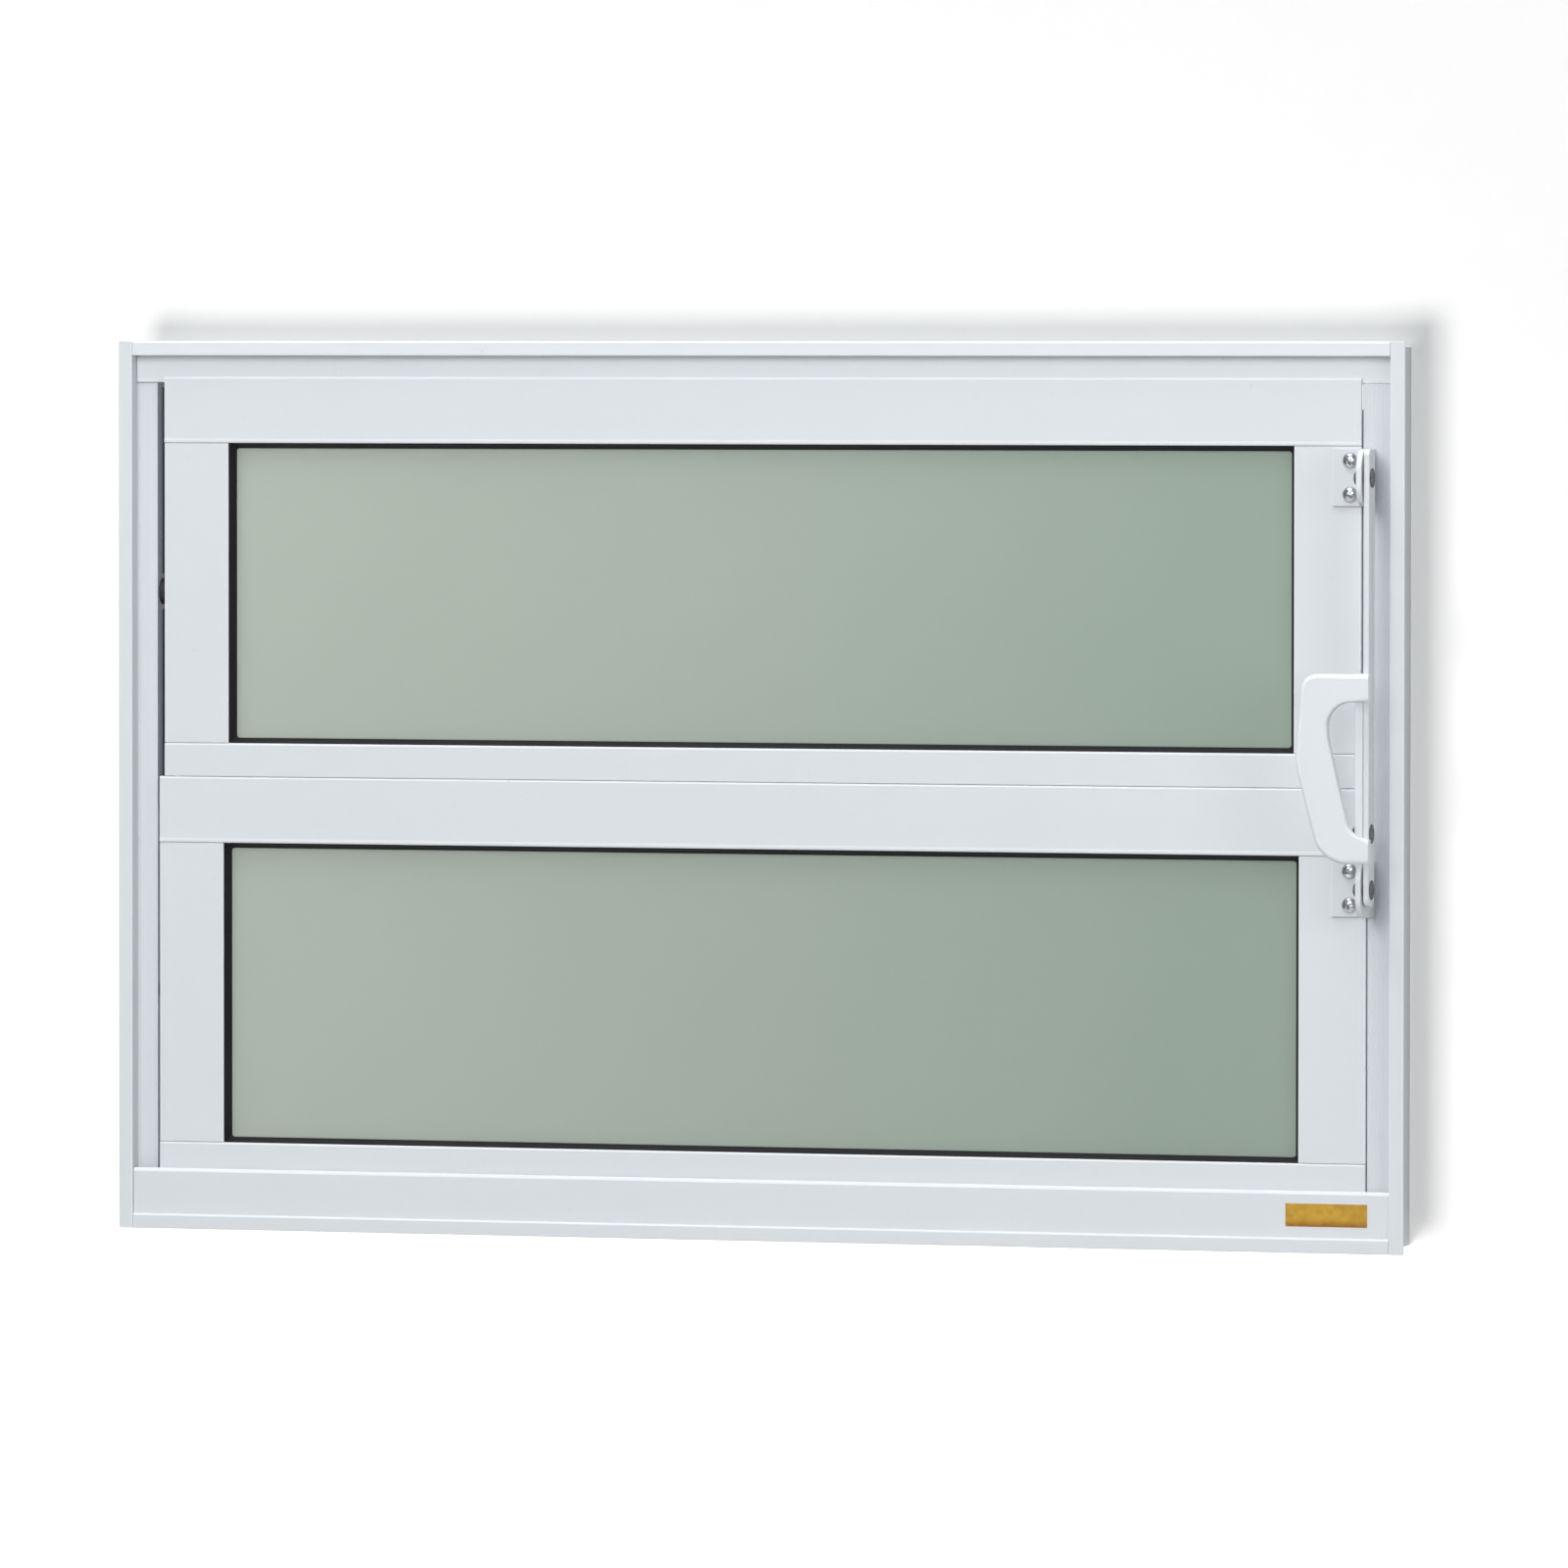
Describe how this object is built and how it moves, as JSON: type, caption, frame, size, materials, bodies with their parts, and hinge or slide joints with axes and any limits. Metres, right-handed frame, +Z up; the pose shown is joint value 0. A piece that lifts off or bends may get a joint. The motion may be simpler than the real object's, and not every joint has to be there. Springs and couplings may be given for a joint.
{
  "type": "two-sash horizontal pivot window",
  "caption": "White aluminium window with frosted panes in pivoting sashes, joined by a flat link bar with a pull handle.",
  "frame": {"origin": "underside of the sill's web, half way along the window, in the vertical plane of the pivot axes", "axes": "+X to the right as seen from the room, +Y outwards through the wall, +Z up"},
  "size_m": [0.6, 0.061, 0.4],
  "materials": {
    "white_powder_coat": "satin",
    "handle_enamel": "semi-gloss",
    "frosted_glass": "frosted",
    "gasket_rubber": "matte",
    "pile_seal": "napped",
    "nylon": "matte",
    "zinc_screw": "bright zinc",
    "rivet_steel": "dull"
  },
  "bodies": {
    "frame": {"head": "white_powder_coat", "sill": "white_powder_coat", "left_jamb": "white_powder_coat", "right_jamb": "white_powder_coat", "lower_left_bush": "nylon", "lower_right_bush": "nylon", "upper_left_bush": "nylon", "upper_right_bush": "nylon", "lower_left_seal": "pile_seal", "lower_right_seal": "pile_seal", "upper_left_seal": "pile_seal", "upper_right_seal": "pile_seal"},
    "upper_sash": {"upper_top_rail": "white_powder_coat", "upper_bottom_rail": "white_powder_coat", "upper_left_stile": "white_powder_coat", "upper_right_stile": "white_powder_coat", "upper_glass": "frosted_glass", "upper_front_gasket": "gasket_rubber", "upper_rear_gasket": "gasket_rubber", "upper_left_pivot": "rivet_steel", "upper_right_pivot": "rivet_steel", "upper_bracket": "white_powder_coat", "upper_bracket_screws": "zinc_screw", "upper_link_rivet": "rivet_steel"},
    "lower_sash": {"lower_top_rail": "white_powder_coat", "lower_bottom_rail": "white_powder_coat", "lower_left_stile": "white_powder_coat", "lower_right_stile": "white_powder_coat", "lower_glass": "frosted_glass", "lower_front_gasket": "gasket_rubber", "lower_rear_gasket": "gasket_rubber", "lower_left_pivot": "rivet_steel", "lower_right_pivot": "rivet_steel", "lower_bracket": "white_powder_coat", "lower_bracket_screws": "zinc_screw", "lower_link_rivet": "rivet_steel"},
    "link_bar": {"link_bar": "white_powder_coat", "handle": "handle_enamel", "handle_rivet": "rivet_steel", "upper_link_washer": "nylon", "lower_link_washer": "nylon"}
  },
  "joints": [
    {"name": "upper_sash_pivot", "type": "hinge", "parent": "frame", "child": "upper_sash", "pos_m": [0, 0, 0.282], "axis": [1, 0, 0], "range_deg": [0, 30]},
    {"name": "lower_sash_pivot", "type": "hinge", "parent": "frame", "child": "lower_sash", "pos_m": [0, 0, 0.102], "axis": [1, 0, 0], "range_deg": [0, 30]},
    {"name": "link_bar_pin", "type": "hinge", "parent": "upper_sash", "child": "link_bar", "pos_m": [0.288, -0.029, 0.3352], "axis": [1, 0, 0], "range_deg": [-30, 0]}
  ],
  "couplings": [
    {"joint": "lower_sash_pivot", "follows": "upper_sash_pivot", "ratio": 1},
    {"joint": "link_bar_pin", "follows": "upper_sash_pivot", "ratio": -1}
  ]
}
